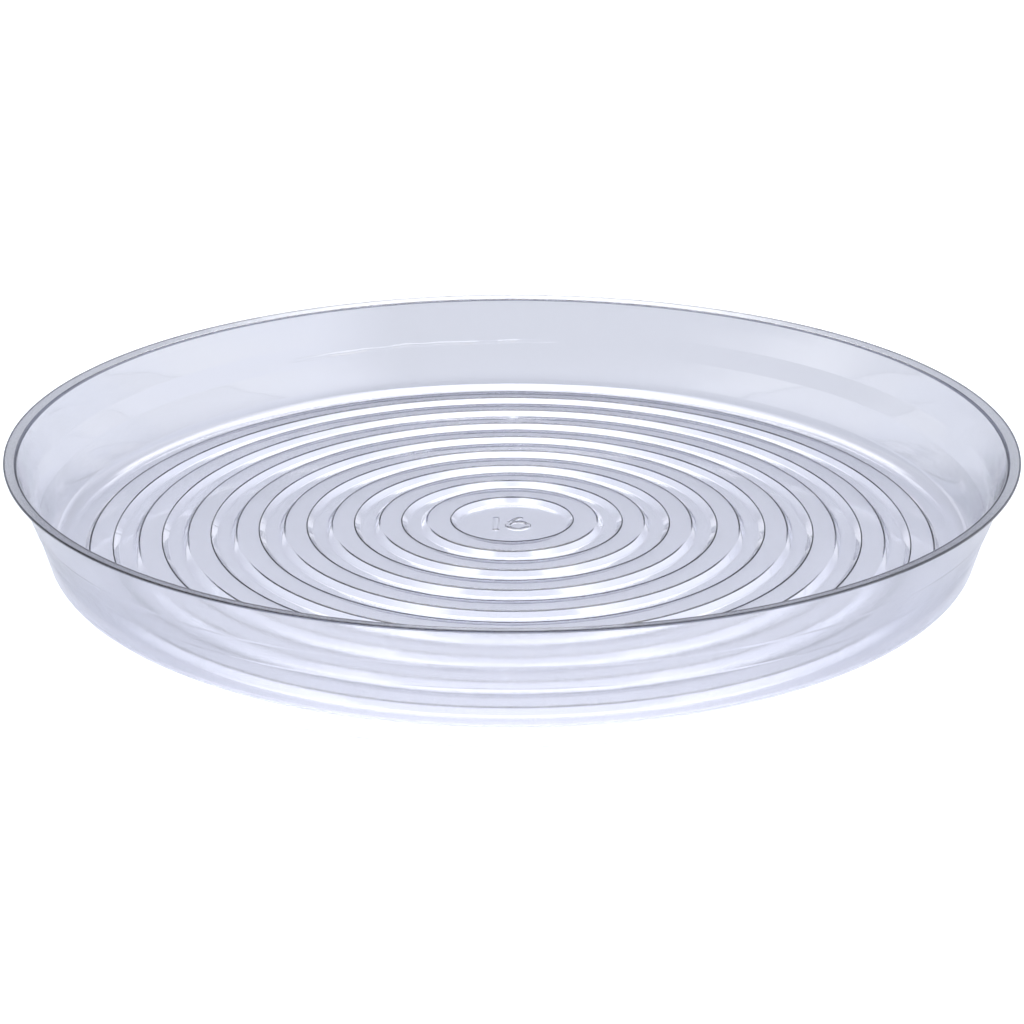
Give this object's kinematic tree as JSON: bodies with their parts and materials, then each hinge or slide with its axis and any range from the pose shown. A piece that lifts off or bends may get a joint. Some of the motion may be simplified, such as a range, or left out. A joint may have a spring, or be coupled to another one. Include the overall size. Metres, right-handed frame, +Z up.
{
  "type": "plant saucer",
  "caption": "Large clear round plant saucer: a thin formed sheet with a ringed floor, a low flared wall and a narrow lip turned out at the top.",
  "frame": {"origin": "centre of the round base, on the surface that the saucer stands on", "axes": "+Z up, along the axis of the round saucer; +Y away from the reader of the size mark on the pad, which reads along +X"},
  "size_m": [0.4064, 0.4064, 0.045],
  "materials": {
    "clear_sheet": "clear formed sheet, gloss, faintly lavender"
  },
  "bodies": {
    "root": {"saucer": "clear_sheet"}
  },
  "joints": []
}
